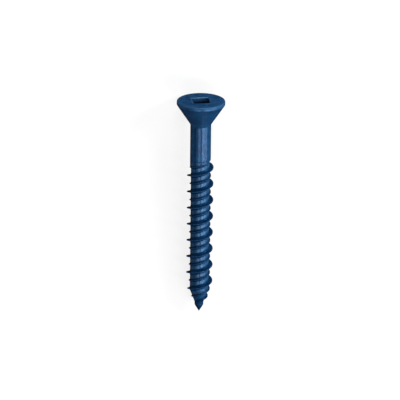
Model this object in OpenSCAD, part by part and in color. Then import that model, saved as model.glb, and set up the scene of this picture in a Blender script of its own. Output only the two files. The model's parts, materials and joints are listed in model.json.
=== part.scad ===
// Concrete screw with a countersunk head, a square drive socket and a twin
// thread of one high and one low ridge, drawn in millimetres.
// It is drawn upright, head face at height zero and point downwards, then laid
// down as it comes to rest, on the rim of its head and a crest of its thread.
// In the lying pose the head points along +Y and the ground is at height zero.

/* [Body] */
// Length from the head face to the tip of the point
overall_length = 44.5; // [42:0.5:60]
// Length from the head face to the end of the plain shank
plain_length = 12.4; // [10:0.05:16]
// Diameter of the plain shank
shank_d = 4.12; // [4.04:0.02:4.24]
// Height above the end of the plain shank at which its bevel starts
shank_bevel = 0.1; // [0.05:0.05:0.3]

/* [Head] */
// Diameter of the head
head_d = 9.6; // [9:0.1:10.4]
// Height of the rim round the head, with its rounded edge
rim_h = 0.75; // [0.6:0.05:0.9]
// Radius of the rounded edge between the face and the rim
face_round = 0.25; // [0.1:0.05:0.3]
// Included angle of the cone below the rim
cone_angle = 67; // [62:1:90]
// Radius of the blend between the rim and the cone
rim_round = 0.4; // [0.2:0.1:0.6]
// Radius of the blend between the cone and the shank
neck_round = 0.9; // [0.3:0.1:1.5]

/* [Drive socket] */
// Width of the square socket across its flats
socket_w = 3.36; // [3.3:0.02:3.4]
// Depth of the flat walls of the socket
socket_depth = 2.5; // [2:0.1:2.8]
// Depth of the pointed floor below the walls
socket_floor = 0.6; // [0.3:0.1:0.8]
// Width of the bevel round the mouth of the socket
socket_bevel = 0.1; // [0.05:0.05:0.2]
// Turn of the socket about the axis, in degrees
socket_turn = 9; // [0:1:89]

/* [Thread] */
// Diameter of the core between the ridges
core_d = 3.72; // [3.6:0.02:3.8]
// Diameter over the high ridge
high_d = 5.28; // [5:0.02:5.5]
// Diameter over the low ridge
low_d = 4.3; // [4.2:0.02:4.4]
// Advance along the axis in one full turn
lead = 3.42; // [3.2:0.02:3.8]
// Width of the high ridge at its foot
high_foot = 1.1; // [0.8:0.05:1.3]
// Width of the high ridge at its waist, where the root curve ends
high_waist = 0.4; // [0.3:0.02:0.5]
// Width of the low ridge at its foot
low_foot = 0.8; // [0.5:0.05:1]
// Width of the land along the top of both ridges
land_w = 0.07; // [0.04:0.01:0.1]
// Length along the axis in which a ridge grows to full height or fades out
fade_length = 0.9; // [0.6:0.1:1.2]
// Gap between the end of the plain shank and the start of the high ridge
high_start = 0.3; // [0.1:0.1:0.8]
// Length of the low ridge that runs into the end of the plain shank
low_overlap = 0.4; // [0.3:0.05:0.6]
// Angle round the axis by which the high ridge lags at the end of the shank
thread_phase = 164; // [0:1:359]
// Angle over which the first valley, level with the shank, sinks to the core
runout_turn = 90; // [30:5:150]

/* [Point] */
// Length from the end of the full core to the tip of the point
point_length = 4.65; // [4.3:0.05:5]
// Half angle of the cone that ends the core
taper_angle = 20.8; // [19:0.1:23]
// Radius of the neck between the cone and the pinched tip
pinch_r = 0.87; // [0.75:0.01:0.95]
// Length of the sharp corners that four pinched flats leave on the tip
pinch_length = 1.42; // [1.2:0.02:1.44]
// Turn of the pinched flats about the axis, in degrees
pinch_turn = 0; // [0:5:85]
// Length of the core above its end where the high ridge starts to drop
crest_drop = 0.9; // [0.5:0.1:1.5]
// Length of the cone above its end where both ridges have faded out
ridge_end = 0.1; // [0:0.1:0.6]

/* [Rest] */
// Turn of the whole screw about its axis as it lies, in degrees
rest_roll = 0; // [-60:1:60]

/* [Hidden] */
head_r = head_d / 2;
shank_r = shank_d / 2;
core_r = core_d / 2;
high_r = high_d / 2;
low_r = low_d / 2;
// Amount by which a cutting solid passes the surface it cuts
overrun = 0.2;
// Depth to which hidden ends of one solid reach into another
bury = 0.12;
// Height by which the turned shank and point stand proud of the faceted thread
proud = 0.01;
// Length of the turned point that overlaps the faceted core
sleeve = 1;
// Length of the faceted thread that is hidden inside the plain shank
thread_cover = 0.8;
// Steps of the thread in one turn
turn_steps = 48;
// Segments in each arc of the outline
round_steps = 4;
// Share of the high ridge's height that its waist reaches
waist_share = 0.24;

// Smoothness of the turned surfaces
$fn = 96;

// Height at which the cone below the head would reach the shank
cone_end = -rim_h - (head_r - shank_r) / tan(cone_angle / 2);
// Angle between the cone's line and the axis
flank_turn = cone_angle / 2;
// Share of a blend's radius that it takes up along each line it joins
blend_share = tan(flank_turn / 2);

// Heights of the core's end, of the cone's end and of the point's tip
core_end = point_length - overall_length;
neck_end = core_end - (core_r - pinch_r) / tan(taper_angle);
tip = -overall_length;
// Heights at which the faceted thread starts and ends, both out of sight
thread_top = thread_cover - plain_length;
thread_bottom = neck_end + bury;

// Height of the high ridge's crest on the +X side, nearest the shank
high_line = -plain_length - lead * thread_phase / 360;

function clamp01(x) = min(1, max(0, x));

// Radius of the cone that ends the core, at height z
function taper_r(z) = core_r - (core_end - z) * tan(taper_angle);

// Radius of the faceted core, which dips below the turned point to be hidden
function hidden_r(z) = min(core_r, taper_r(z) - bury);

// Radius over the high ridge once it drops along the point
function drop_r(z) = high_r - (core_end + crest_drop - z) * tan(taper_angle);

// Share of its height that a ridge has at height z, when it starts at height s
function growth(z, s) =
    clamp01((s - z) / fade_length) * clamp01((z - neck_end - ridge_end) / fade_length);

// Radius of a ridge that rises to full radius r above the core, at height z
function ridge_r(z, r, s, share) =
    let (surface = min(core_r, taper_r(z)))
    let (rise = (r - surface) * growth(z, s) * share)
    rise > 0 ? max(hidden_r(z), surface + rise) : hidden_r(z);

// Share of the step between shank and core that still fills the valley below
// the high ridge, where that ridge is at angle a, counted on from turn to turn
function filling(a) = clamp01((a - thread_phase) / runout_turn + 1);

// Radius of the thread's surface at height z, for one point of its profile and
// the angle a of the high ridge next to it
function profile_r(z, point, a) =
    point[1] == "high" ? ridge_r(z, min(high_r, drop_r(z)), -plain_length - high_start, point[2])
    : point[1] == "low" ? ridge_r(z, min(low_r, taper_r(z) + low_r - core_r), low_overlap - plain_length, point[2])
    : point[1] == "valley" ? hidden_r(z) + (shank_r - proud - core_r) * filling(a)
    : hidden_r(z);

// Profile of the thread over one lead, as offset, kind of ridge and share of height
profile = [
    [-high_foot / 2, "valley", 0],
    [-high_waist / 2, "high", waist_share],
    [-land_w / 2, "high", 1],
    [land_w / 2, "high", 1],
    [high_waist / 2, "high", waist_share],
    [high_foot / 2, "core", 0],
    [(lead - low_foot) / 2, "core", 0],
    [(lead - land_w) / 2, "low", 1],
    [(lead + land_w) / 2, "low", 1],
    [(lead + low_foot) / 2, "valley", 0],
];
stations = len(profile);

// Height of station q on the column of the thread at step k, counted upwards
below = ceil((high_line - thread_bottom) / lead) + 1;
function station_z(k, q) =
    high_line + lead * (floor(q / stations) - below + k / turn_steps) + profile[q % stations][0];

// Angle of the high ridge next above station q on the column at step k, or at it
function ridge_angle(k, q) = 360 * (floor((q + 1) / stations) - below + k / turn_steps);

// Smallest distance kept between a station and an end of the thread
end_gap = land_w / 2;
all_stations = stations * (below + ceil((thread_top - high_line) / lead) + 2);

// First and last station that lie between the two ends, on the column at step k
function first_station(k, q = 0) =
    station_z(k, q) > thread_bottom + end_gap ? q : first_station(k, q + 1);
function last_station(k, q = all_stations) =
    station_z(k, q) < thread_top - end_gap ? q : last_station(k, q - 1);

firsts = [for (k = [0 : turn_steps]) first_station(k)];
lasts = [for (k = [0 : turn_steps]) last_station(k)];

function polar(r, a, z) = [r * cos(a), r * sin(a), z];

// Points of the column at step k, from the lower end of the thread to the upper
function column(k) =
    let (a = 360 * k / turn_steps)
    concat(
        [polar(hidden_r(thread_bottom), a, thread_bottom)],
        [for (q = [firsts[k] : lasts[k]])
            let (z = station_z(k, q))
            polar(profile_r(z, profile[q % stations], ridge_angle(k, q)), a, z)],
        [polar(hidden_r(thread_top), a, thread_top)]
    );

columns = [for (k = [0 : turn_steps - 1]) column(k)];
thread_points = [for (c = columns) each c];

// Number of points before the column at step k
starts = [for (k = 0, n = 0; k < turn_steps; n = n + len(columns[k]), k = k + 1) n];

// Place of station q of column k in the list of points; a full turn lifts a
// station by one lead, so the column after the last is the first, one lead on
function place(k, q) =
    k < turn_steps ? starts[k] + q - firsts[k] + 1 : starts[0] + q + stations - firsts[0] + 1;
function foot_place(k) = starts[k % turn_steps];
function top_place(k) = starts[k % turn_steps] + len(columns[k % turn_steps]) - 1;

// Triangles of the strip between the columns at steps k and k + 1
function strip(k) =
    let (low_q = firsts[k])
    let (next_low_q = firsts[k + 1])
    let (high_q = lasts[k])
    let (next_high_q = lasts[k + 1])
    concat(
        [[foot_place(k), place(k + 1, next_low_q), foot_place(k + 1)]],
        [for (q = [next_low_q : 1 : low_q - 1]) [foot_place(k), place(k + 1, q + 1), place(k + 1, q)]],
        [[foot_place(k), place(k, low_q), place(k + 1, low_q)]],
        [for (q = [low_q : 1 : next_high_q - 1]) each [
            [place(k, q), place(k, q + 1), place(k + 1, q + 1)],
            [place(k, q), place(k + 1, q + 1), place(k + 1, q)],
        ]],
        [[top_place(k + 1), place(k + 1, next_high_q), place(k, next_high_q)]],
        [for (q = [next_high_q : 1 : high_q - 1]) [top_place(k + 1), place(k, q), place(k, q + 1)]],
        [[top_place(k + 1), place(k, high_q), top_place(k)]]
    );

thread_faces = concat(
    [for (k = [0 : turn_steps - 1]) each strip(k)],
    [[for (k = [0 : turn_steps - 1]) foot_place(k)]],
    [[for (k = [turn_steps - 1 : -1 : 0]) top_place(k)]]
);

// Points of an arc of radius r about a centre, from one angle to another
function arc(centre, r, from, to) =
    [for (i = [0 : round_steps])
        let (a = from + (to - from) * i / round_steps)
        centre + r * [cos(a), sin(a)]];

// Half outline of the head and the plain shank, from the axis outwards
head_outline = concat(
    [[0, 0]],
    arc([head_r - face_round, -face_round], face_round, 90, 0),
    arc([head_r - rim_round, rim_round * blend_share - rim_h], rim_round, 0, -flank_turn),
    arc([shank_r + neck_round, cone_end - neck_round * blend_share], neck_round, 180 - flank_turn, 180),
    [[shank_r, shank_bevel - plain_length]],
    [[core_r - bury, shank_bevel - plain_length - (shank_r - core_r + bury)]],
    [[0, shank_bevel - plain_length - (shank_r - core_r + bury)]]
);

// Half outline of the turned point before it is pinched, from where it leaves the core
point_outline = [
    [0, core_end + sleeve + bury],
    [core_r - bury, core_end + sleeve + bury],
    [core_r + proud, core_end + sleeve],
    [core_r + proud, core_end],
    [pinch_r, neck_end],
    [pinch_r, tip],
    [0, tip],
];
// Height of the four flats above the tip, past all that they could cut
flats_h = point_length + sleeve + bury + overrun;

// Crests on the underside of the lying screw, nearest its point, by distance from the face
under_line = -high_line - lead * (90 - rest_roll) / 360;
full_end = -core_end - crest_drop;
last_full = under_line + lead * floor((full_end - under_line) / lead);
// Slope at which the rim and the crest at distance d both touch the ground
function rest_slope(d) = (head_r - min(high_r, drop_r(-d))) / (d - rim_h);
rest_tilt = atan(min(rest_slope(last_full), rest_slope(last_full + lead)));
// Height of the head face's centre above the ground
rest_lift = head_r * cos(rest_tilt) + rim_h * sin(rest_tilt);
// Half the difference between the reach of the tip and that of the head
rest_shift = (overall_length * cos(rest_tilt) - (head_r - face_round * (1 - sin(rest_tilt))) * sin(rest_tilt)) / 2;

// Head, cone, neck and plain shank, turned about the axis
module head_and_shank() {
    rotate_extrude()
        polygon(head_outline);
}

// Square socket with a bevelled mouth and a pointed floor
module socket() {
    half_diagonal = socket_w / sqrt(2);
    mouth = (socket_w / 2 + socket_bevel + overrun) * sqrt(2);
    rotate([0, 0, socket_turn + 45]) {
        translate([0, 0, -socket_depth])
            cylinder(h = socket_depth + overrun, r = half_diagonal, $fn = 4);
        translate([0, 0, -socket_depth - socket_floor])
            cylinder(h = socket_floor, r1 = 0, r2 = half_diagonal, $fn = 4);
        translate([0, 0, -socket_bevel])
            cylinder(h = socket_bevel + overrun, r1 = half_diagonal, r2 = mouth, $fn = 4);
    }
}

// Core with its high and low ridge, as one faceted skin
module thread() {
    polyhedron(points = thread_points, faces = thread_faces, convexity = 10);
}

// Cone and neck, pinched to a sharp tip by four flats that run out up the neck
module point() {
    intersection() {
        rotate_extrude()
            polygon(point_outline);
        rotate([0, 0, pinch_turn])
            translate([0, 0, tip])
                cylinder(h = flats_h, r1 = 0, r2 = pinch_r * flats_h / pinch_length, $fn = 4);
    }
}

// The whole screw, upright
module upright_screw() {
    difference() {
        union() {
            head_and_shank();
            thread();
            point();
        }
        socket();
    }
}

// The screw as it lies, head towards +Y
module screw() {
    color([0.16, 0.31, 0.5])
        translate([0, rest_shift, rest_lift])
            rotate([rest_tilt - 90, 0, 0])
                rotate([0, 0, rest_roll])
                    upright_screw();
}

screw();
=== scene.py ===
"""Looks of the concrete screw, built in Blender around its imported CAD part.

The screw is modelled upright and a thousand times its size, so that one unit is a
millimetre: its head face lies at height zero, its point is below, and the side that
faces the camera is towards -Y. It is then laid down as the CAD part lies, and scaled
to metres.
"""

import json
import logging
import math
from contextlib import contextmanager
from dataclasses import dataclass, field
from enum import Enum
from typing import Callable, Iterator, Sequence

import bmesh
import bpy
from mathutils import Matrix, Vector

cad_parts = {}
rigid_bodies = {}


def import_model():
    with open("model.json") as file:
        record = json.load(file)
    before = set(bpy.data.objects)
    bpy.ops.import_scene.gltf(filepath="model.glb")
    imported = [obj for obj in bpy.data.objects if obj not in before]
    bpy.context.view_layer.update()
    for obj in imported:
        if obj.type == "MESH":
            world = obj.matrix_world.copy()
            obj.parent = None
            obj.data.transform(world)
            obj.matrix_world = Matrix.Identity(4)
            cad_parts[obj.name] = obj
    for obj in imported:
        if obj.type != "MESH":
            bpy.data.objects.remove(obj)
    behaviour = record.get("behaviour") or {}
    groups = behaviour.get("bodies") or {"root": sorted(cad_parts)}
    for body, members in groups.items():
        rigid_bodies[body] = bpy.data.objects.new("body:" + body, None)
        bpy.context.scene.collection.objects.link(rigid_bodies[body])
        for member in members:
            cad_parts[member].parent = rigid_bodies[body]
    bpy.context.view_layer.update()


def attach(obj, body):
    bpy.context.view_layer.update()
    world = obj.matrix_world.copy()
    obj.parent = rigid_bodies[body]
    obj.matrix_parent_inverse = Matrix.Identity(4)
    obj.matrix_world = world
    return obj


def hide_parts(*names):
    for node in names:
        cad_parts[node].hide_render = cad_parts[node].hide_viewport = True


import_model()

log = logging.getLogger("concrete_screw")

METRES = 0.001
TURN = 2 * math.pi
WELD = 0.0004
TINY = 1e-6
UPRIGHT = 0.9
MOTTLE_DETAIL = 3.0

Point = tuple[float, float]
Span = tuple[float, float]
Outline = list[Point]
Colour = tuple[float, float, float, float]
WHITE: Colour = (1.0, 1.0, 1.0, 1.0)


def colour(red: int, green: int, blue: int) -> Colour:
    """Turns a colour as it is seen on a screen, 0 to 255, into the linear one that nodes use."""

    def linear(level: int) -> float:
        share = level / 255
        return share / 12.92 if share <= 0.04045 else ((share + 0.055) / 1.055) ** 2.4

    return (linear(red), linear(green), linear(blue), 1.0)


def ramp(value: float, low: float, high: float) -> float:
    """Rises smoothly from 0 at low to 1 at high; low may be the greater of the two."""
    share = min(1.0, max(0.0, (value - low) / (high - low)))
    return share * share * (3 - 2 * share)


def soft_min(first: float, second: float, blend: float) -> float:
    """Gives the smaller of two values, rounded off over the length of the blend."""
    share = max(blend - abs(first - second), 0.0) / blend
    return min(first, second) - share * share * blend / 4


def soft_max(first: float, second: float, blend: float) -> float:
    """Gives the greater of two values, rounded off over the length of the blend."""
    return -soft_min(-first, -second, blend)


def arc(centre: Point, radius: float, start: float, end: float, count: int) -> Outline:
    """Gives the points of an arc.

    Args:
        centre: Its centre, as radius and height.
        radius: Its radius.
        start: The angle at which it starts, in degrees.
        end: The angle at which it ends, in degrees.
        count: How many segments it has.

    Returns:
        The points from start to end.
    """
    turns = [math.radians(start + (end - start) * i / count) for i in range(count + 1)]
    return [(centre[0] + radius * math.cos(a), centre[1] + radius * math.sin(a)) for a in turns]


def curve(start: Point, pull: Point, end: Point, count: int) -> Outline:
    """Gives the points of a curve that leaves start towards pull and reaches end from pull."""
    shares = [i / count for i in range(count + 1)]
    return [
        tuple((1 - t) ** 2 * a + 2 * t * (1 - t) * b + t * t * c for a, b, c in zip(start, pull, end))
        for t in shares
    ]


class Joining(Enum):
    """How one closed solid is combined with another."""

    ADD = "UNION"
    CUT = "DIFFERENCE"
    KEEP = "INTERSECT"


class Ridge(Enum):
    """The two ridges of the twin thread."""

    HIGH = "high"
    LOW = "low"


class Bench:
    """The acts of hand modelling that the sub-assemblies share."""

    @staticmethod
    def pick(piece: bpy.types.Object) -> None:
        """Selects only this piece and makes it the active one."""
        bpy.ops.object.select_all(action="DESELECT")
        piece.select_set(True)
        bpy.context.view_layer.objects.active = piece

    @staticmethod
    @contextmanager
    def editing(piece: bpy.types.Object) -> Iterator[None]:
        """Opens the piece in edit mode with all of it selected, and closes it again."""
        Bench.pick(piece)
        bpy.ops.object.mode_set(mode="EDIT")
        bpy.ops.mesh.select_mode(type="VERT")
        bpy.ops.mesh.select_all(action="SELECT")
        yield
        bpy.ops.object.mode_set(mode="OBJECT")

    @staticmethod
    def choose_faces(piece: bpy.types.Object, test: Callable[[Vector, Vector], bool]) -> None:
        """Selects, in edit mode, the faces whose centre and normal pass the test."""
        bpy.ops.mesh.select_mode(type="FACE")
        bpy.ops.mesh.select_all(action="DESELECT")
        shape = bmesh.from_edit_mesh(piece.data)
        for face in shape.faces:
            face.select_set(test(face.calc_center_median(), face.normal))
        bmesh.update_edit_mesh(piece.data)

    @staticmethod
    def choose_edges(piece: bpy.types.Object, test: Callable[[Vector, Vector], bool]) -> None:
        """Selects, in edit mode, the edges whose middle and direction pass the test."""
        bpy.ops.mesh.select_mode(type="EDGE")
        bpy.ops.mesh.select_all(action="DESELECT")
        shape = bmesh.from_edit_mesh(piece.data)
        for edge in shape.edges:
            ends = [vert.co for vert in edge.verts]
            edge.select_set(test((ends[0] + ends[1]) / 2, (ends[1] - ends[0]).normalized()))
        bmesh.update_edit_mesh(piece.data)

    @staticmethod
    def draw(name: str, points: Sequence[Point]) -> bpy.types.Object:
        """Draws an open outline by extruding one vertex from point to point.

        Args:
            name: The new piece's name.
            points: Radius and height of each point, in order.

        Returns:
            The outline, in the plane of X and Z.
        """
        bpy.ops.object.select_all(action="DESELECT")
        bpy.ops.mesh.primitive_plane_add(size=1.0)
        piece = bpy.context.object
        piece.name = name
        with Bench.editing(piece):
            bpy.ops.mesh.merge(type="CENTER")
            bpy.ops.transform.translate(value=(points[0][0], 0.0, points[0][1]))
            for here, there in zip(points, points[1:]):
                step = (there[0] - here[0], 0.0, there[1] - here[1])
                bpy.ops.mesh.extrude_region_move(TRANSFORM_OT_translate={"value": step})
        return piece

    @staticmethod
    def weld(piece: bpy.types.Object) -> None:
        """Merges vertices that fall together and turns all faces outwards."""
        with Bench.editing(piece):
            bpy.ops.mesh.remove_doubles(threshold=WELD)
            bpy.ops.mesh.normals_make_consistent(inside=False)

    @staticmethod
    def turn(piece: bpy.types.Object, steps: int) -> None:
        """Spins an outline that starts and ends on the axis into a closed solid."""
        with Bench.editing(piece):
            bpy.ops.mesh.spin(steps=steps, angle=TURN, center=(0, 0, 0), axis=(0, 0, 1))
        Bench.weld(piece)

    @staticmethod
    def finish(piece: bpy.types.Object, modifier: bpy.types.Modifier) -> None:
        """Applies a modifier."""
        Bench.pick(piece)
        bpy.ops.object.modifier_apply(modifier=modifier.name)

    @staticmethod
    def combine(base: bpy.types.Object, tool: bpy.types.Object, how: Joining) -> None:
        """Adds a tool solid to the base, cuts it out, or keeps what both share; the tool is used up."""
        modifier = base.modifiers.new(how.name.lower(), "BOOLEAN")
        modifier.operation = how.value
        modifier.solver = "MANIFOLD"
        modifier.object = tool
        Bench.finish(base, modifier)
        bpy.data.objects.remove(tool)

    @staticmethod
    def slice_off(piece: bpy.types.Object, height: float, keep_below: bool) -> None:
        """Cuts a piece level at a height, drops the part above or below, and closes the cut."""
        with Bench.editing(piece):
            bpy.ops.mesh.bisect(
                plane_co=(0, 0, height),
                plane_no=(0, 0, 1),
                use_fill=True,
                clear_outer=keep_below,
                clear_inner=not keep_below,
            )


@dataclass(frozen=True)
class Lengths:
    """The main lengths of the screw, in millimetres, and how finely it is rounded."""

    overall: float = 44.5
    plain: float = 12.4
    shank_d: float = 4.12
    core_d: float = 3.72
    neck_r: float = 0.87
    around: int = 160

    @property
    def tip(self) -> float:
        """Height of the tip."""
        return -self.overall


@dataclass
class HeadAndShank:
    """Countersunk head, the plain shank below it and the square drive socket."""

    lengths: Lengths
    head_d: float = 9.6
    rim_h: float = 0.75
    face_round: float = 0.25
    cone_angle: float = 67.0
    rim_round: float = 0.4
    neck_round: float = 0.9
    shank_bevel: float = 0.1
    bevel_angle: float = 45.0
    shank_edge_round: float = 0.08
    buried_step: float = 0.12
    socket_w: float = 3.36
    socket_depth: float = 2.5
    socket_floor: float = 0.6
    socket_bevel: float = 0.1
    socket_corner: float = 0.12
    lip_w: float = 0.18
    lip_sink: float = 0.004
    # Depth of the socket's upper walls, and where its painted shade becomes full.
    socket_dusk: float = 1.1
    socket_turn: float = 9.0
    cut_past: float = 0.2
    face_margin: float = 0.75
    face_shares: tuple[float, ...] = (0.0, 1 / 3, 1 / 2)
    shank_rings: int = 8
    arc_steps: int = 10
    small_arc_steps: int = 4

    def outline(self) -> Outline:
        """Gives the half outline, from the face round the rim and down the shank, back to the axis."""
        head_r, shank_r = self.head_d / 2, self.lengths.shank_d / 2
        flank = self.cone_angle / 2
        blend = math.tan(math.radians(flank / 2))
        cone_end = -self.rim_h - (head_r - shank_r) / math.tan(math.radians(flank))
        rim = (head_r - self.rim_round, self.rim_round * blend - self.rim_h)
        neck = (shank_r + self.neck_round, cone_end - self.neck_round * blend)
        bevel_top = self.shank_bevel - self.lengths.plain
        inner_r = self.lengths.core_d / 2 - self.buried_step
        foot = bevel_top - (shank_r - inner_r)
        face = [(head_r * share, 0.0) for share in self.face_shares]
        rings = range(1, self.shank_rings)
        sides = [(shank_r, neck[1] + (bevel_top - neck[1]) * i / self.shank_rings) for i in rings]
        edge_r = self.shank_edge_round
        edge_middle = (shank_r - edge_r, bevel_top + edge_r * math.tan(math.radians(self.bevel_angle / 2)))
        return [
            *face,
            (head_r - self.face_margin, 0.0),
            *arc((head_r - self.face_round, -self.face_round), self.face_round, 90, 0, self.arc_steps),
            *arc(rim, self.rim_round, 0, -flank, self.arc_steps),
            *arc(neck, self.neck_round, 180 - flank, 180, self.arc_steps),
            *sides,
            *arc(edge_middle, edge_r, 0, -self.bevel_angle, self.small_arc_steps),
            (inner_r, foot),
            (0.0, foot),
        ]

    def socket_cutter(self) -> bpy.types.Object:
        """Shapes the solid that cuts the socket: a square punch with a pointed end and a flared mouth."""
        walls = self.socket_dusk - self.socket_bevel
        bpy.ops.object.select_all(action="DESELECT")
        bpy.ops.mesh.primitive_cube_add(
            size=1.0,
            location=(0, 0, -self.socket_bevel - walls / 2),
            rotation=(0, 0, math.radians(self.socket_turn)),
            scale=(self.socket_w, self.socket_w, walls),
        )
        cutter = bpy.context.object
        cutter.name = "socket_cutter"
        bpy.ops.object.transform_apply(location=True, rotation=True, scale=True)
        rise = self.socket_bevel - self.lip_sink
        mouth = ((rise, rise), (2 * self.lip_sink, 2 * self.lip_w), (self.cut_past, 0.0))
        width = self.socket_w
        with Bench.editing(cutter):
            Bench.choose_edges(cutter, lambda middle, way: abs(way.z) > UPRIGHT)
            bpy.ops.mesh.bevel(offset=self.socket_corner, segments=self.small_arc_steps, affect="EDGES")
            Bench.choose_faces(cutter, lambda centre, normal: normal.z > UPRIGHT)
            for up, out in mouth:
                wider = 1 + 2 * out / width
                bpy.ops.mesh.extrude_region_move(TRANSFORM_OT_translate={"value": (0, 0, up)})
                bpy.ops.transform.resize(value=(wider, wider, 1), center_override=(0, 0, 0))
                width += 2 * out
            below = -self.socket_bevel
            Bench.choose_faces(cutter, lambda centre, normal: normal.z < -UPRIGHT and centre.z < below)
            for down in (self.socket_depth - self.socket_dusk, self.socket_floor):
                bpy.ops.mesh.extrude_region_move(TRANSFORM_OT_translate={"value": (0, 0, -down)})
            bpy.ops.mesh.merge(type="CENTER")
        Bench.weld(cutter)
        return cutter

    def build(self) -> bpy.types.Object:
        """Turns the head and shank and cuts the socket."""
        piece = Bench.draw("head_and_shank", self.outline())
        Bench.turn(piece, self.lengths.around)
        Bench.combine(piece, self.socket_cutter(), Joining.CUT)
        return piece


@dataclass
class ThreadedBody:
    """Core with the twin thread, its cone and its neck, as one skin that winds about the axis."""

    lengths: Lengths
    high_d: float = 5.28
    low_d: float = 4.3
    lead: float = 3.42
    high_foot: float = 1.3
    high_waist: float = 0.42
    low_foot: float = 1.1
    low_waist: float = 0.36
    waist_share: float = 0.24
    land_w: float = 0.07
    fade: float = 0.9
    high_start: float = 0.3
    low_overlap: float = 0.4
    phase: float = 164.0
    runout_turn: float = 90.0
    proud: float = 0.01
    point_length: float = 4.65
    taper_angle: float = 20.8
    crest_drop: float = 0.9
    ridge_end: float = 0.1
    blend: float = 0.12
    cover: float = 0.8
    crest_waver: float = 0.02
    crest_waves: tuple[Span, ...] = ((1.7, 0.0), (2.9, 1.3), (4.3, 0.4))
    valley_share: float = 0.5
    least_share: float = 1e-4
    cut_height: float = 1.6
    foot_steps: int = 7
    flank_steps: int = 3
    root_steps: int = 3
    spare_turns: int = 3
    turns_above: int = 2
    # Painted shade bands along the ridges' flanks, fading out at the neck.
    high_dusk: float = 0.75
    high_dusk_w: float = 0.4
    high_dusk_past: float = 0.1
    low_dusk: float = 0.55
    low_dusk_w: float = 0.25
    dusk_end: Span = (-0.3, 0.6)
    valley_end: float = 0.5

    @property
    def core_end(self) -> float:
        """Height at which the core starts to narrow."""
        return self.lengths.tip + self.point_length

    @property
    def neck_end(self) -> float:
        """Height at which the cone has narrowed to the neck."""
        narrowing = self.lengths.core_d / 2 - self.lengths.neck_r
        return self.core_end - narrowing / math.tan(math.radians(self.taper_angle))

    @property
    def high_line(self) -> float:
        """Height of the high ridge's crest on the +X side, nearest the shank."""
        return -self.lengths.plain - self.lead * self.phase / 360

    def narrowed(self, radius: float, start: float, height: float) -> float:
        """Gives the radius that a surface has at a height if it narrows with the cone from start on."""
        return radius - (start - height) * math.tan(math.radians(self.taper_angle))

    def surface(self, height: float) -> float:
        """Gives the radius of the core, cone or neck at a height."""
        core_r = self.lengths.core_d / 2
        coned = soft_min(core_r, self.narrowed(core_r, self.core_end, height), self.blend)
        return soft_max(coned, self.lengths.neck_r, self.blend)

    def half_ridge(self, foot: float, waist: float, rise: float) -> Outline:
        """Gives one side of a ridge, from its foot to the edge of its land.

        Args:
            foot: Width of the ridge at its foot.
            waist: Width at which the root's curve ends.
            rise: Height of the ridge above the core.

        Returns:
            Points of distance from the ridge's middle, and height above the core.
        """
        land, start, narrow = self.land_w / 2, foot / 2, waist / 2
        waist_h = rise * self.waist_share
        slope = (narrow - land) / (rise - waist_h)
        root = curve((start, 0.0), (narrow + slope * waist_h, 0.0), (narrow, waist_h), self.foot_steps)
        shares = [i / self.flank_steps for i in range(1, self.flank_steps + 1)]
        flank = [(narrow + (land - narrow) * t, waist_h + (rise - waist_h) * t) for t in shares]
        return [*root, *flank]

    def profile(self) -> Outline:
        """Gives the profile of the thread over one lead, as radius and height, from a core point up."""
        core_r = self.lengths.core_d / 2
        ridges = [
            (0.0, self.half_ridge(self.high_foot, self.high_waist, self.high_d / 2 - core_r)),
            (self.lead / 2, self.half_ridge(self.low_foot, self.low_waist, self.low_d / 2 - core_r)),
        ]
        shares = [i / self.root_steps for i in range(1, self.root_steps)]
        points: Outline = []
        for middle, side in ridges:
            points += [(core_r + rise, middle - away) for away, rise in side]
            points.append((core_r + side[-1][1], middle))
            points += [(core_r + rise, middle + away) for away, rise in reversed(side)]
            last = points[-1][1]
            next_foot = middle + self.lead / 2 - (self.low_foot if middle == 0.0 else self.high_foot) / 2
            points += [(core_r, last + (next_foot - last) * t) for t in shares]
        points.append((core_r, self.lead - self.high_foot / 2))
        return points

    def turns_at(self, place: Vector) -> float:
        """Gives how many leads a point lies above the high ridge's line; whole on that ridge."""
        return (place.z - self.high_line) / self.lead - math.atan2(place.y, place.x) / TURN

    def ridge_at(self, place: Vector) -> tuple[Ridge, float]:
        """Tells which ridge a point belongs to, and its share of that ridge's full height."""
        core_r, turns = self.lengths.core_d / 2, self.turns_at(place)
        ridge = Ridge.HIGH if abs(turns - round(turns)) < self.valley_share / 2 else Ridge.LOW
        full = (self.high_d if ridge is Ridge.HIGH else self.low_d) / 2
        return ridge, (math.hypot(place.x, place.y) - core_r) / (full - core_r)

    def filling(self, place: Vector) -> float:
        """Gives how far the first valley, below the high ridge, is still level with the shank."""
        turns = self.turns_at(place)
        above = math.ceil(turns - TINY)
        if above - turns > self.valley_share:
            return 0.0
        angle = 360 * above + math.degrees(math.atan2(place.y, place.x))
        return ramp(angle, self.phase - self.runout_turn, self.phase)

    def below_shank(self, place: Vector) -> float:
        """Gives how far a point lies below the plain shank: 0 at its end, 1 where the ridges are full."""
        return ramp(place.z, -self.lengths.plain, -self.lengths.plain - self.fade)

    def beside_ridge(self, place: Vector) -> float:
        """Gives how close a point lies to a ridge, for the painted shade bands along the ridges: 0 in the
        open valley, high_dusk on the high ridge.
        """
        turns = self.turns_at(place)
        to_high = abs(turns - round(turns)) * self.lead
        to_low = self.lead / 2 - to_high
        near_high = self.high_dusk * ramp(to_high, self.high_foot / 2 + self.high_dusk_past, self.high_dusk_w)
        near_low = self.low_dusk * ramp(to_low, self.low_foot / 2, self.low_dusk_w)
        at_neck = ramp(place.z, self.neck_end + self.dusk_end[0], self.neck_end + self.dusk_end[1])
        return max(near_high, near_low) * self.below_shank(place) * at_neck

    def open_valley(self, place: Vector) -> float:
        """Gives how far a point lies in the open valley between the ridges, from 0 to 1, for the painted
        highlight there.
        """
        on_core = ramp(place.z, self.neck_end + self.valley_end, self.core_end)
        return self.below_shank(place) * on_core * (1 - self.beside_ridge(place) / self.high_dusk) ** 2

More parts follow.
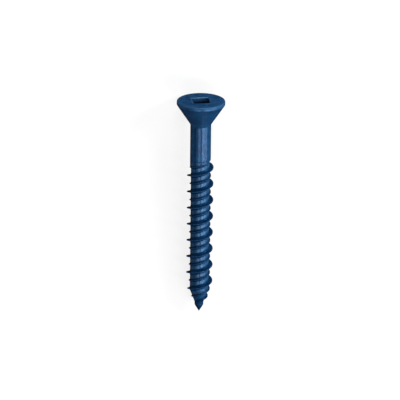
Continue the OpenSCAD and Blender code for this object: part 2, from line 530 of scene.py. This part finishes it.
    def waver(self, place: Vector) -> float:
        """Gives the small unevenness of a rolled crest, never outwards."""
        along = place.z / self.lead * TURN
        waves = [math.sin(rate * along + start) for rate, start in self.crest_waves]
        return -self.crest_waver * (1 + sum(waves) / len(waves)) / 2

    def shaped_radius(self, place: Vector) -> float:
        """Gives a point's radius once ridges grow in, fade out and drop along the point."""
        surface = self.surface(place.z)
        ridge, share = self.ridge_at(place)
        filled = surface + (self.lengths.shank_d / 2 - self.proud - surface) * self.filling(place)
        if share < self.least_share:
            return filled
        if ridge is Ridge.HIGH:
            crest, drop_start = self.high_d / 2, self.core_end + self.crest_drop
            start = -self.lengths.plain - self.high_start
        else:
            crest, drop_start = self.low_d / 2, self.core_end
            start = self.low_overlap - self.lengths.plain
        full = min(crest, self.narrowed(crest, drop_start, place.z))
        grown = min(1.0, max(0.0, (start - place.z) / self.fade))
        faded = min(1.0, max(0.0, (place.z - self.neck_end - self.ridge_end) / self.fade))
        rise = (full - surface) * grown * faded + self.waver(place) * grown * faded
        return max(filled, surface + max(0.0, rise) * share)

    def build(self) -> bpy.types.Object:
        """Winds the profile up the axis, shapes its ends and cuts it level."""
        turns = math.ceil((self.lengths.overall - self.lengths.plain) / self.lead) + self.spare_turns
        start = self.high_line - self.lead * (turns - self.turns_above)
        piece = Bench.draw("threaded_body", [(r, z + start) for r, z in self.profile()])
        winding = piece.modifiers.new("winding", "SCREW")
        winding.axis = "Z"
        winding.angle = TURN
        winding.screw_offset = self.lead
        winding.iterations = turns
        winding.steps = winding.render_steps = self.lengths.around
        winding.use_smooth_shade = False
        Bench.finish(piece, winding)
        Bench.weld(piece)
        for vertex in piece.data.vertices:
            radius = math.hypot(vertex.co.x, vertex.co.y)
            share = self.shaped_radius(vertex.co) / radius
            vertex.co.x *= share
            vertex.co.y *= share
        Bench.slice_off(piece, self.cover - self.lengths.plain, keep_below=True)
        Bench.slice_off(piece, self.lengths.tip + self.cut_height, keep_below=False)
        Bench.weld(piece)
        return piece


@dataclass
class PinchedTip:
    """Sharp end of the point: the round neck, pinched by four flats."""

    lengths: Lengths
    flat_count: int = 4
    sharp_length: float = 1.42
    reach: float = 2.4
    overlap: float = 0.3
    turn: float = 0.0

    def build(self) -> bpy.types.Object:
        """Turns the neck down to the tip and keeps what lies inside the four flats."""
        radius, foot = self.lengths.neck_r, self.lengths.tip
        top = foot + self.reach - self.overlap
        piece = Bench.draw("pinched_tip", [(0.0, top), (radius, top), (radius, foot), (0.0, foot)])
        Bench.turn(piece, self.lengths.around)
        bpy.ops.object.select_all(action="DESELECT")
        bpy.ops.mesh.primitive_cone_add(
            vertices=self.flat_count,
            radius1=0.0,
            radius2=radius * self.reach / self.sharp_length,
            depth=self.reach,
            location=(0, 0, foot + self.reach / 2),
            rotation=(0, 0, math.radians(self.turn)),
        )
        flats = bpy.context.object
        bpy.ops.object.transform_apply(location=True, rotation=True, scale=True)
        Bench.weld(flats)
        Bench.combine(piece, flats, Joining.KEEP)
        return piece


@dataclass(frozen=True)
class Lying:
    """How the screw lies: tilted on the rim of its head and a crest of its thread."""

    tilt: float = 3.40598
    lift: float = 4.83608
    shift: float = 22.0751
    roll: float = 0.0

    def matrix(self) -> Matrix:
        """Gives the move from the upright screw in millimetres to the lying one in metres."""
        return (
            Matrix.Scale(METRES, 4)
            @ Matrix.Translation((0, self.shift, self.lift))
            @ Matrix.Rotation(math.radians(self.tilt - 90), 4, "X")
            @ Matrix.Rotation(math.radians(self.roll), 4, "Z")
        )

    def way(self, azimuth: float, elevation: float) -> Vector:
        """Gives a direction round the screw.

        Args:
            azimuth: Degrees round the screw's axis, from the camera's side towards the image's right.
            elevation: Degrees up from the plane across the axis, towards the head.

        Returns:
            The direction in the scene, away from the screw.
        """
        a, e = math.radians(azimuth), math.radians(elevation)
        local = Vector((math.sin(a) * math.cos(e), -math.cos(a) * math.cos(e), math.sin(e)))
        return (self.matrix().to_3x3() @ local).normalized()

    def on_axis(self, depth: float) -> Vector:
        """Gives the point of the axis at a depth below the head face, in the scene."""
        return self.matrix() @ Vector((0, 0, -depth))


@dataclass
class Painter:
    """Places and joins the nodes of one node tree."""

    tree: bpy.types.NodeTree

    def node(self, kind: str, **settings: object) -> bpy.types.Node:
        """Adds a node.

        Args:
            kind: Its type, without the leading ShaderNode.
            **settings: Values of its properties, and of its sockets by lower-case name or input_N.

        Returns:
            The node.
        """
        node = self.tree.nodes.new(kind if kind.startswith("Node") else f"ShaderNode{kind}")
        sockets = {socket.name.lower().replace(" ", "_"): socket for socket in reversed(node.inputs)}
        sockets |= {f"input_{i}": socket for i, socket in enumerate(node.inputs)}
        for name, value in settings.items():
            socket = sockets.get(name)
            if isinstance(value, bpy.types.NodeSocket):
                self.tree.links.new(value, socket)
            elif socket is not None:
                socket.default_value = value
            else:
                setattr(node, name, value)
        return node

    def maths(
        self, operation: str, first: object, second: object = 0.0, clamp: bool = False
    ) -> bpy.types.NodeSocket:
        """Adds a Math node and gives its result."""
        node = self.node("Math", operation=operation, use_clamp=clamp, input_0=first, input_1=second)
        return node.outputs[0]

    def blend(self, share: object, first: object, second: object) -> bpy.types.NodeSocket:
        """Mixes two colours by a share and gives the result."""
        node = self.node("Mix", data_type="RGBA", input_0=share, input_6=first, input_7=second)
        return node.outputs[2]

    def spread(self, value: bpy.types.NodeSocket, source: Span, target: Span) -> bpy.types.NodeSocket:
        """Maps a value from one span to another, clamped, and gives the result."""
        limits = {"from_min": source[0], "from_max": source[1], "to_min": target[0], "to_max": target[1]}
        return self.node("MapRange", value=value, **limits).outputs[0]


def mottle_group() -> bpy.types.NodeTree:
    """Builds the node group for unevenness: soft noise of a given grain size, as a mask from 0 to 1."""
    group = bpy.data.node_groups.new("mottle", "ShaderNodeTree")
    sides = group.interface
    sides.new_socket("Place", in_out="INPUT", socket_type="NodeSocketVector")
    sides.new_socket("Grains per Metre", in_out="INPUT", socket_type="NodeSocketFloat")
    sides.new_socket("Roughness", in_out="INPUT", socket_type="NodeSocketFloat")
    sides.new_socket("Low", in_out="INPUT", socket_type="NodeSocketFloat")
    sides.new_socket("High", in_out="INPUT", socket_type="NodeSocketFloat")
    sides.new_socket("Mask", in_out="OUTPUT", socket_type="NodeSocketFloat")
    paint = Painter(group)
    given = paint.node("NodeGroupInput").outputs
    noise = paint.node("TexNoise", vector=given[0], scale=given[1], detail=MOTTLE_DETAIL, roughness=given[2])
    mask = paint.node("MapRange", value=noise.outputs[0], from_min=given[3], from_max=given[4])
    paint.node("NodeGroupOutput", input_0=mask.outputs[0])
    return group


@dataclass(frozen=True)
class BlueCoating:
    """Semi-matte blue coating on steel, lighter where the coating is thin and scuffed on sharp edges, with
    painted highlights along the rim and in the thread's valleys, painted shade in the socket, under the head,
    on the rim's side, beside the ridges and in creases, and darker towards the tip.
    """

    deep: Colour = colour(6, 38, 70)
    plain: Colour = colour(15, 56, 94)
    light: Colour = colour(25, 71, 111)
    # Lighter tone where the coating is scuffed off sharp edges; it also gives the painted highlights along
    # the rim and in the thread's valleys.
    worn_and_highlight: Colour = colour(64, 102, 138)
    # Painted shade in the socket, on the cone under the head, on the rim's side, beside the ridges and in
    # creases; it also darkens the tip.
    shade: Colour = colour(2, 32, 62)
    # Near-black painted shade deep in the socket; it also darkens the tip.
    depth: Colour = colour(1, 10, 30)
    roughness: float = 0.34
    metal_share: float = 0.25
    gloss: float = 0.0
    edge_tint: float = 0.15
    glaze: float = 0.027
    edge_gloss: float = 0.3
    glaze_roughness: float = 0.17
    glaze_ior: float = 2.5
    cloud_size: float = 1.6
    grain_size: float = 0.12
    skin_size: float = 0.3
    relief: float = 0.004
    relief_strength: float = 0.6
    grain_relief_share: float = 0.35
    rolled_relief: Span = (1.0, 2.5)
    # Span of the mask, up to the strength of the painted valley highlights, over which the bumps grow.
    rolled_wear: Span = (0.0, 0.5)
    cloud_span: Span = (0.35, 0.65)
    fine_span: Span = (0.3, 0.7)
    mottle_roughness: float = 0.55
    skin_tint: Span = (0.0, 0.22)
    # How the clouds vary the painted shade, where the near-black painted shade starts, and how the scuffed
    # and highlighted tone follows the grain.
    recess_by_cloud: Span = (1.2, 0.9)
    deepest: Span = (0.8, 1.0)
    depth_tint: Span = (0.0, 0.85)
    rub_and_highlight_grain: Span = (0.2, 0.7)
    rub_and_highlight_tint: Span = (0.15, 0.75)
    roughness_by_grain: Span = (-0.05, 0.07)
    edge_span: Span = (0.6, 0.9)
    dull_recess: Span = (0.0, 0.8)
    dull_share: Span = (1.0, 0.25)

    def mottle(
        self, paint: Painter, group: bpy.types.NodeTree, place: bpy.types.NodeSocket, size: float, span: Span
    ) -> bpy.types.NodeSocket:
        """Places the mottle group.

        Args:
            paint: The painter of the material's nodes.
            group: The mottle group.
            place: The coordinates that it follows.
            size: Size of its grains, in millimetres.
            span: The noise values that become 0 and 1.

        Returns:
            Its mask.
        """
        node = paint.node("Group", node_tree=group)
        paint.tree.links.new(place, node.inputs[0])
        for socket, value in zip(list(node.inputs)[1:], (1 / (size * METRES), self.mottle_roughness, *span)):
            socket.default_value = value
        return node.outputs[0]

    def material(self, group: bpy.types.NodeTree) -> bpy.types.Material:
        """Builds the material."""
        made = bpy.data.materials.new("blue_coating_finish")
        made.use_nodes = True
        made.node_tree.nodes.clear()
        paint = Painter(made.node_tree)
        place = paint.node("TexCoord").outputs["Object"]
        # Masks from the mesh: scuffed sharp edges with painted highlights on the rim and in the valleys, and
        # painted shade with a darker tip.
        wear = paint.node("Attribute", attribute_name="wear").outputs["Fac"]
        recess = paint.node("Attribute", attribute_name="recess").outputs["Fac"]
        clouds = self.mottle(paint, group, place, self.cloud_size, self.cloud_span)
        grain = self.mottle(paint, group, place, self.grain_size, self.fine_span)
        skin = self.mottle(paint, group, place, self.skin_size, self.fine_span)
        whole: Span = (0.0, 1.0)
        base = paint.blend(clouds, self.plain, self.light)
        base = paint.blend(paint.spread(skin, whole, self.skin_tint), base, self.deep)
        patchy = paint.spread(clouds, whole, self.recess_by_cloud)
        # Painted shade, patchy with the clouds, then near-black painted shade deep in the socket and at the
        # tip.
        base = paint.blend(paint.maths("MULTIPLY", recess, patchy, clamp=True), base, self.shade)
        base = paint.blend(paint.spread(recess, self.deepest, self.depth_tint), base, self.depth)
        # Lighter tone for scuffed edges and for the painted highlights.
        rubbed_and_highlighted = paint.maths("MULTIPLY", wear, paint.spread(grain, self.rub_and_highlight_grain, self.rub_and_highlight_tint))
        base = paint.blend(rubbed_and_highlighted, base, self.worn_and_highlight)
        roughest = tuple(self.roughness + change for change in self.roughness_by_grain)
        height = paint.maths("ADD", skin, paint.maths("MULTIPLY", grain, self.grain_relief_share))
        height = paint.maths("MULTIPLY", height, paint.spread(wear, self.rolled_wear, self.rolled_relief))
        bump = paint.node("Bump", strength=self.relief_strength, distance=self.relief * METRES, height=height)
        facing = paint.node("LayerWeight", blend=0.5).outputs["Facing"]
        glaze = paint.spread(facing, self.edge_span, (self.glaze, self.glaze * self.edge_gloss))
        # The gloss is weaker where the painted shade lies.
        glaze = paint.maths("MULTIPLY", glaze, paint.spread(recess, self.dull_recess, self.dull_share))
        shader = paint.node(
            "BsdfPrincipled",
            base_color=base,
            roughness=paint.spread(grain, whole, roughest),
            metallic=self.metal_share,
            specular_ior_level=self.gloss,
            specular_tint=(*(self.edge_tint,) * 3, 1.0),
            coat_weight=glaze,
            coat_roughness=self.glaze_roughness,
            coat_ior=self.glaze_ior,
            normal=bump.outputs[0],
        )
        paint.node("OutputMaterial", surface=shader.outputs[0])
        return made


@dataclass
class ConcreteScrew:
    """The whole screw, one piece of steel with a thin coating."""

    head: HeadAndShank
    thread: ThreadedBody
    point: PinchedTip
    lying: Lying
    coating: BlueCoating = field(default_factory=BlueCoating)
    sharp_bend: Span = (0.25, 0.8)
    sharp_wear: float = 0.8
    # Painted highlight along the head's rim.
    rim_band: Span = (-0.35, -0.05)
    rim_fall: Span = (-0.85, -0.4)
    rim_wear: float = 0.6
    # Painted highlight in the thread's open valleys.
    rolled_wear: float = 0.5
    # Darker towards the tip, where no edge is scuffed.
    tip_band: Span = (2.6, 1.1)
    tip_dusk: float = 0.92
    # Painted shade on the cone under the head and on the rim's side.
    cone_out: float = 0.6
    cone_fall: Span = (-0.6, -1.1)
    cone_dusk: float = 0.62
    rim_side_w: float = 0.3
    rim_side_fall: Span = (-0.1, -0.3)
    rim_side_dusk: float = 0.1
    # Painted shade in the socket.
    socket_top: float = -0.2
    socket_reach_share: float = 0.75
    socket_foot: float = -4.0
    head_foot: float = -6.0
    # Painted shade in creases, where the metal bends inwards.
    hollow_bend: Span = (0.1, 0.6)
    hollow_dusk: float = 0.6
    smooth_angle: float = 32.0

    def edge_wear(self, place: Vector, sharpness: float) -> float:
        """Gives how far the coating is scuffed off sharp edges, and the painted highlights along the rim and
        in the open valleys.

        Args:
            place: The point.
            sharpness: How far the metal bends outwards there, in radians.

        Returns:
            The mask, from 0 to 1.
        """
        head_r = self.head.head_d / 2
        past_rim = math.hypot(place.x, place.y) - head_r
        # Painted highlights along the rim and in the open valleys.
        rim = self.rim_wear * ramp(past_rim, *self.rim_band) * ramp(place.z, *self.rim_fall)
        rolled = self.rolled_wear * self.thread.open_valley(place)
        # Scuffed sharp edges.
        sharp = self.sharp_wear * ramp(sharpness, *self.sharp_bend)
        return max(sharp, rim, rolled) * (1 - self.near_tip(place))

    def near_tip(self, place: Vector) -> float:
        """Gives how near a point lies to the tip, where the coating is darker and not scuffed: 0 away from
        it, 1 at it.
        """
        return ramp(place.z - self.head.lengths.tip, *self.tip_band)

    def on_head(self, place: Vector) -> tuple[float, float, float]:
        """Gives how far a point lies in the socket, on the cone under the head and on the rim's side, for the
        painted shade there.
        """
        radius, head_r = math.hypot(place.x, place.y), self.head.head_d / 2
        inside = radius < self.head.socket_w * self.socket_reach_share and place.z > self.socket_foot
        in_socket = ramp(place.z, self.socket_top, -self.head.socket_dusk) if inside else 0.0
        shank_r = self.head.lengths.shank_d / 2
        cone = ramp(radius, shank_r, shank_r + self.cone_out) * ramp(place.z, *self.cone_fall)
        under_head = self.cone_dusk * cone if place.z > self.head_foot else 0.0
        side = ramp(radius, head_r - self.rim_side_w, head_r) * ramp(place.z, *self.rim_side_fall)
        return in_socket, under_head, self.rim_side_dusk * side

    def recess(self, place: Vector, hollow: float) -> float:
        """Gives the painted shade in the socket, under the head, on the rim's side, beside the ridges and in
        creases, and how much darker the tip is.

        Args:
            place: The point.
            hollow: How far the metal bends inwards there, in radians.

        Returns:
            The mask, from 0 to 1.
        """
        in_hollow = self.hollow_dusk * ramp(hollow, *self.hollow_bend)
        at_tip = self.tip_dusk * self.near_tip(place)
        return max(*self.on_head(place), at_tip, in_hollow, self.thread.beside_ridge(place))

    def mark_surface(self, piece: bpy.types.Object) -> None:
        """Writes the attributes for scuffed edges with painted highlights, and for painted shade with the
        darker tip, from the form of the finished solid.
        """
        shape = bmesh.new()
        shape.from_mesh(piece.data)
        wear = shape.verts.layers.float.new("wear")
        recess = shape.verts.layers.float.new("recess")
        for vertex in shape.verts:
            bends = [edge.calc_face_angle_signed(0.0) for edge in vertex.link_edges]
            vertex[wear] = self.edge_wear(vertex.co, max(bends))
            vertex[recess] = self.recess(vertex.co, -min(bends))
        shape.to_mesh(piece.data)
        shape.free()

    def build(self) -> bpy.types.Object:
        """Joins the three parts into one skin, marks it, coats it and lays it down."""
        piece = self.head.build()
        log.info("head_and_shank: %d faces", len(piece.data.polygons))
        threaded = self.thread.build()
        log.info("threaded_body: %d faces", len(threaded.data.polygons))
        tip = self.point.build()
        log.info("pinched_tip: %d faces", len(tip.data.polygons))
        Bench.combine(piece, threaded, Joining.ADD)
        Bench.combine(piece, tip, Joining.ADD)
        piece.name = piece.data.name = "concrete_screw"
        Bench.weld(piece)
        self.mark_surface(piece)
        piece.data.transform(self.lying.matrix())
        Bench.pick(piece)
        bpy.ops.object.shade_smooth_by_angle(angle=math.radians(self.smooth_angle))
        piece.data.materials.clear()
        piece.data.materials.append(self.coating.material(mottle_group()))
        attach(piece, "root")
        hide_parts("screw")
        triangles = sum(len(face.vertices) - 2 for face in piece.data.polygons)
        log.info("concrete_screw: %d faces, %d triangles", len(piece.data.polygons), triangles)
        return piece


@dataclass(frozen=True)
class Softbox:
    """One lamp with a rectangular face that looks at the middle of the screw."""

    name: str
    azimuth: float
    elevation: float
    distance: float
    width: float
    height: float
    watts: float
    aim_depth: float = 22.0

    def hang(self, lying: Lying) -> bpy.types.Object:
        """Hangs the lamp; its height runs along the screw's axis."""
        lamp = bpy.data.lights.new(self.name, "AREA")
        lamp.shape = "RECTANGLE"
        lamp.size, lamp.size_y = self.width, self.height
        lamp.energy = self.watts
        holder = bpy.data.objects.new(self.name, lamp)
        bpy.context.scene.collection.objects.link(holder)
        middle, back = lying.on_axis(self.aim_depth), lying.way(self.azimuth, self.elevation)
        right = lying.way(0, 90).cross(back).normalized()
        turn = Matrix((right, back.cross(right), back)).transposed().to_4x4()
        holder.matrix_world = Matrix.Translation(middle + back * self.distance) @ turn
        return holder


@dataclass
class Studio:
    """Floor, lamps, surrounding light and camera."""

    lying: Lying
    aim_depth: float = 20.888
    camera_elevation: float = 20.0
    camera_roll: float = 0.6
    camera_distance: float = 0.99285
    lens: float = 450.0
    sensor_w: float = 36.0
    clip: Span = (0.05, 20.0)
    floor_r: float = 1.2
    floor_sides: int = 96
    floor_wall: float = 0.25
    floor_bend_share: float = 0.7
    floor_bend_steps: int = 12
    floor_gap: float = 0.00002
    own_light: float = 0.8
    bounce: float = 0.2
    surround: float = 0.0
    lamps: tuple[Softbox, ...] = (
        Softbox("right_strip", 28.0, -20.0, 1.2, 0.44, 0.12, 4.8),
        Softbox("right_fill", 60.0, -20.0, 1.2, 0.85, 0.12, 5.4),
        Softbox("left_strip", -12.0, -20.0, 1.2, 0.48, 0.12, 2.9),
        Softbox("left_fill", -38.0, -20.0, 1.2, 0.5, 0.12, 0.5),
        Softbox("key_box", 63.0, 24.0, 1.2, 0.5, 0.3, 12.8),
        Softbox("face_box", 20.0, 78.0, 1.2, 0.9, 0.9, 20.5),
        Softbox("tip_box", 50.0, -74.0, 0.8, 0.3, 0.25, 0.7),
    )

    def floor_material(self) -> bpy.types.Material:
        """Builds the plain white finish of the floor, which keeps shadows."""
        made = bpy.data.materials.new("pale_floor")
        made.use_nodes = True
        made.node_tree.nodes.clear()
        paint = Painter(made.node_tree)
        rays = paint.node("LightPath").outputs
        seen = paint.maths("ADD", rays["Is Camera Ray"], rays["Is Glossy Ray"])
        seen = paint.maths("ADD", seen, rays["Is Transmission Ray"], clamp=True)
        tone = paint.blend(seen, (*(self.bounce,) * 3, 1.0), WHITE)
        matte = paint.node("BsdfDiffuse", color=tone)
        bright = paint.node("Emission", color=WHITE, strength=1.0)
        share = paint.maths("MULTIPLY", seen, self.own_light)
        mixed = paint.node("MixShader", input_0=share, input_1=matte.outputs[0], input_2=bright.outputs[0])
        paint.node("OutputMaterial", surface=mixed.outputs[0])
        return made

    def lay_floor(self) -> bpy.types.Object:
        """Lays a round floor whose edge turns up into a low wall."""
        bpy.ops.object.select_all(action="DESELECT")
        bpy.ops.mesh.primitive_circle_add(vertices=self.floor_sides, radius=self.floor_r, fill_type="NGON")
        floor = bpy.context.object
        floor.name = "floor"
        with Bench.editing(floor):
            bpy.ops.mesh.select_mode(type="EDGE")
            bpy.ops.mesh.region_to_loop()
            bpy.ops.mesh.extrude_region_move(TRANSFORM_OT_translate={"value": (0, 0, self.floor_wall)})
            Bench.choose_edges(floor, lambda middle, way: middle.z < TINY)
            bend = self.floor_wall * self.floor_bend_share
            bpy.ops.mesh.bevel(offset=bend, segments=self.floor_bend_steps, affect="EDGES")
        floor.data.transform(Matrix.Translation((0, 0, -self.floor_gap)))
        Bench.pick(floor)
        bpy.ops.object.shade_smooth()
        floor.data.materials.append(self.floor_material())
        return floor

    def light(self) -> None:
        """Hangs the lamps and sets the even light around them."""
        for lamp in self.lamps:
            lamp.hang(self.lying)
        world = bpy.data.worlds.new("surround")
        world.use_nodes = True
        paint = Painter(world.node_tree)
        world.node_tree.nodes.clear()
        glow = paint.node("Background", color=WHITE, strength=self.surround)
        paint.node("OutputWorld", surface=glow.outputs[0])
        bpy.context.scene.world = world

    def set_camera(self) -> None:
        """Places the camera at the photograph's angle."""
        lens = bpy.data.cameras.new("camera")
        lens.lens, lens.sensor_width = self.lens, self.sensor_w
        lens.clip_start, lens.clip_end = self.clip
        camera = bpy.data.objects.new("camera", lens)
        bpy.context.scene.collection.objects.link(camera)
        back = self.lying.way(0, self.camera_elevation)
        up = self.lying.way(180, 90 - self.camera_elevation)
        right = up.cross(back)
        roll = Matrix.Rotation(math.radians(self.camera_roll), 3, back)
        turn = Matrix((roll @ right, roll @ up, back)).transposed().to_4x4()
        aim = self.lying.on_axis(self.aim_depth)
        camera.matrix_world = Matrix.Translation(aim + back * self.camera_distance) @ turn
        bpy.context.scene.camera = camera

    def build(self) -> None:
        """Sets up the whole studio."""
        self.set_camera()
        self.lay_floor()
        self.light()
        bpy.context.scene.view_settings.view_transform = "Standard"
        log.info("studio: %d lamps", len(self.lamps))


def main() -> None:
    """Builds the screw and the studio in order."""
    logging.basicConfig(level=logging.INFO, format="%(name)s %(message)s")
    lengths, lying = Lengths(), Lying()
    ConcreteScrew(HeadAndShank(lengths), ThreadedBody(lengths), PinchedTip(lengths), lying).build()
    Studio(lying).build()


if __name__ == "__main__":
    main()
